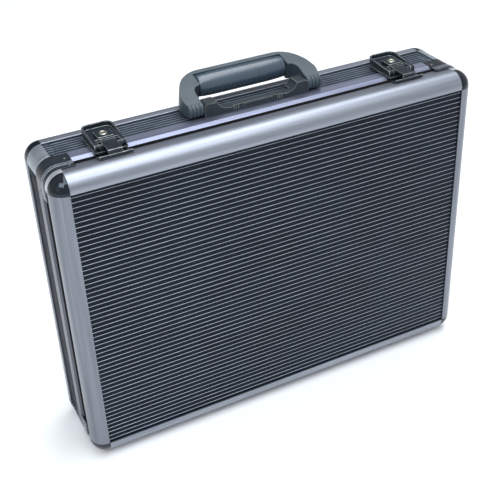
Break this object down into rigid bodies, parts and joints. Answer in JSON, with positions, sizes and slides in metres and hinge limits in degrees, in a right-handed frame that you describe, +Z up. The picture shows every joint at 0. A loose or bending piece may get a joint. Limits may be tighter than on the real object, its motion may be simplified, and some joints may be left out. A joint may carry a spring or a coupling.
{
  "type": "attache case",
  "caption": "Hard-sided aluminium-framed attaché case with striped panels, hinged lid, key-lock draw latches, folding handle and black corner guards.",
  "frame": {"origin": "on the floor, under the middle of the case's bounding box", "axes": "+X along the length to the right as seen from the lid's side, +Y from the lid's face to the back, +Z up with the handle on top"},
  "size_m": [0.455, 0.1014, 0.3628],
  "materials": {
    "striped_panel": "satin laminate with thin raised light stripes",
    "satin_aluminium": "satin anodised, fine grain along the length",
    "bright_aluminium": "bright anodised, finely fluted",
    "ribbed_panel": "finely ribbed laminate",
    "gloss_black_plastic": "gloss moulded",
    "black_plastic": "satin moulded",
    "dark_metal": "dark satin coated die casting",
    "steel": "plated",
    "grey_plastic": "satin moulded",
    "lining": "black foam-backed cloth",
    "rubber": "matt"
  },
  "bodies": {
    "base": {"back_panel": "striped_panel", "base_lining": "lining", "back_edge_top": "satin_aluminium", "back_edge_bottom": "satin_aluminium", "back_edge_left": "satin_aluminium", "back_edge_right": "satin_aluminium", "side_panel_top": "ribbed_panel", "side_panel_bottom": "ribbed_panel", "side_panel_left": "ribbed_panel", "side_panel_right": "ribbed_panel", "closing_rail_top": "bright_aluminium", "closing_rail_bottom": "bright_aluminium", "closing_rail_left": "bright_aluminium", "closing_rail_right": "bright_aluminium", "back_ball_top_left": "gloss_black_plastic", "back_ball_top_right": "gloss_black_plastic", "back_ball_bottom_left": "gloss_black_plastic", "back_ball_bottom_right": "gloss_black_plastic", "corner_round_top_left": "bright_aluminium", "corner_round_top_right": "bright_aluminium", "corner_round_bottom_left": "bright_aluminium", "corner_round_bottom_right": "bright_aluminium", "base_bracket_top_left": "black_plastic", "base_bracket_top_right": "black_plastic", "base_bracket_bottom_left": "black_plastic", "base_bracket_bottom_right": "black_plastic", "base_hinge_leaf_left": "steel", "base_hinge_leaf_right": "steel", "latch_base_left": "dark_metal", "latch_base_right": "dark_metal", "handle_base": "grey_plastic", "foot_front_left": "rubber", "foot_front_right": "rubber", "foot_back_left": "rubber", "foot_back_right": "rubber"},
    "lid": {"lid_panel": "striped_panel", "lid_lining": "lining", "lid_edge_top": "satin_aluminium", "lid_edge_bottom": "satin_aluminium", "lid_edge_left": "satin_aluminium", "lid_edge_right": "satin_aluminium", "lid_ball_top_left": "gloss_black_plastic", "lid_ball_top_right": "gloss_black_plastic", "lid_ball_bottom_left": "gloss_black_plastic", "lid_ball_bottom_right": "gloss_black_plastic", "lid_bracket_top_left": "black_plastic", "lid_bracket_top_right": "black_plastic", "lid_bracket_bottom_left": "black_plastic", "lid_bracket_bottom_right": "black_plastic", "lid_hinge_leaf_left": "steel", "lid_hinge_leaf_right": "steel", "latch_catch_left": "dark_metal", "latch_catch_right": "dark_metal"},
    "handle": {"handle": "grey_plastic"},
    "latch_lever_left": {"latch_lever_left": "dark_metal"},
    "latch_hook_left": {"latch_hook_left": "dark_metal"},
    "lock_plug_left": {"lock_plug_left": "steel"},
    "latch_lever_right": {"latch_lever_right": "dark_metal"},
    "latch_hook_right": {"latch_hook_right": "dark_metal"},
    "lock_plug_right": {"lock_plug_right": "steel"}
  },
  "joints": [
    {"name": "lid_hinge", "type": "hinge", "parent": "base", "child": "lid", "pos_m": [0, -0.0195, 0.0045], "axis": [1, 0, 0], "range_deg": [0, 95]},
    {"name": "handle_swing", "type": "hinge", "parent": "base", "child": "handle", "pos_m": [0, 0.00535, 0.3424], "axis": [1, 0, 0], "range_deg": [0, 150]},
    {"name": "latch_lever_left", "type": "hinge", "parent": "base", "child": "latch_lever_left", "pos_m": [-0.159, -0.01445, 0.34], "axis": [1, 0, 0], "range_deg": [0, 90]},
    {"name": "latch_hook_left", "type": "hinge", "parent": "latch_lever_left", "child": "latch_hook_left", "pos_m": [-0.159, -0.00845, 0.3412], "axis": [1, 0, 0], "range_deg": [-90, 0]},
    {"name": "key_turn_left", "type": "hinge", "parent": "latch_lever_left", "child": "lock_plug_left", "pos_m": [-0.159, 0.00285, 0.34], "axis": [0, 0, 1], "range_deg": [0, 90]},
    {"name": "latch_lever_right", "type": "hinge", "parent": "base", "child": "latch_lever_right", "pos_m": [0.159, -0.01445, 0.34], "axis": [1, 0, 0], "range_deg": [0, 90]},
    {"name": "latch_hook_right", "type": "hinge", "parent": "latch_lever_right", "child": "latch_hook_right", "pos_m": [0.159, -0.00845, 0.3412], "axis": [1, 0, 0], "range_deg": [-90, 0]},
    {"name": "key_turn_right", "type": "hinge", "parent": "latch_lever_right", "child": "lock_plug_right", "pos_m": [0.159, 0.00285, 0.34], "axis": [0, 0, 1], "range_deg": [0, 90]}
  ],
  "couplings": [
    {"joint": "latch_hook_left", "follows": "latch_lever_left", "ratio": -1},
    {"joint": "latch_hook_right", "follows": "latch_lever_right", "ratio": -1}
  ]
}
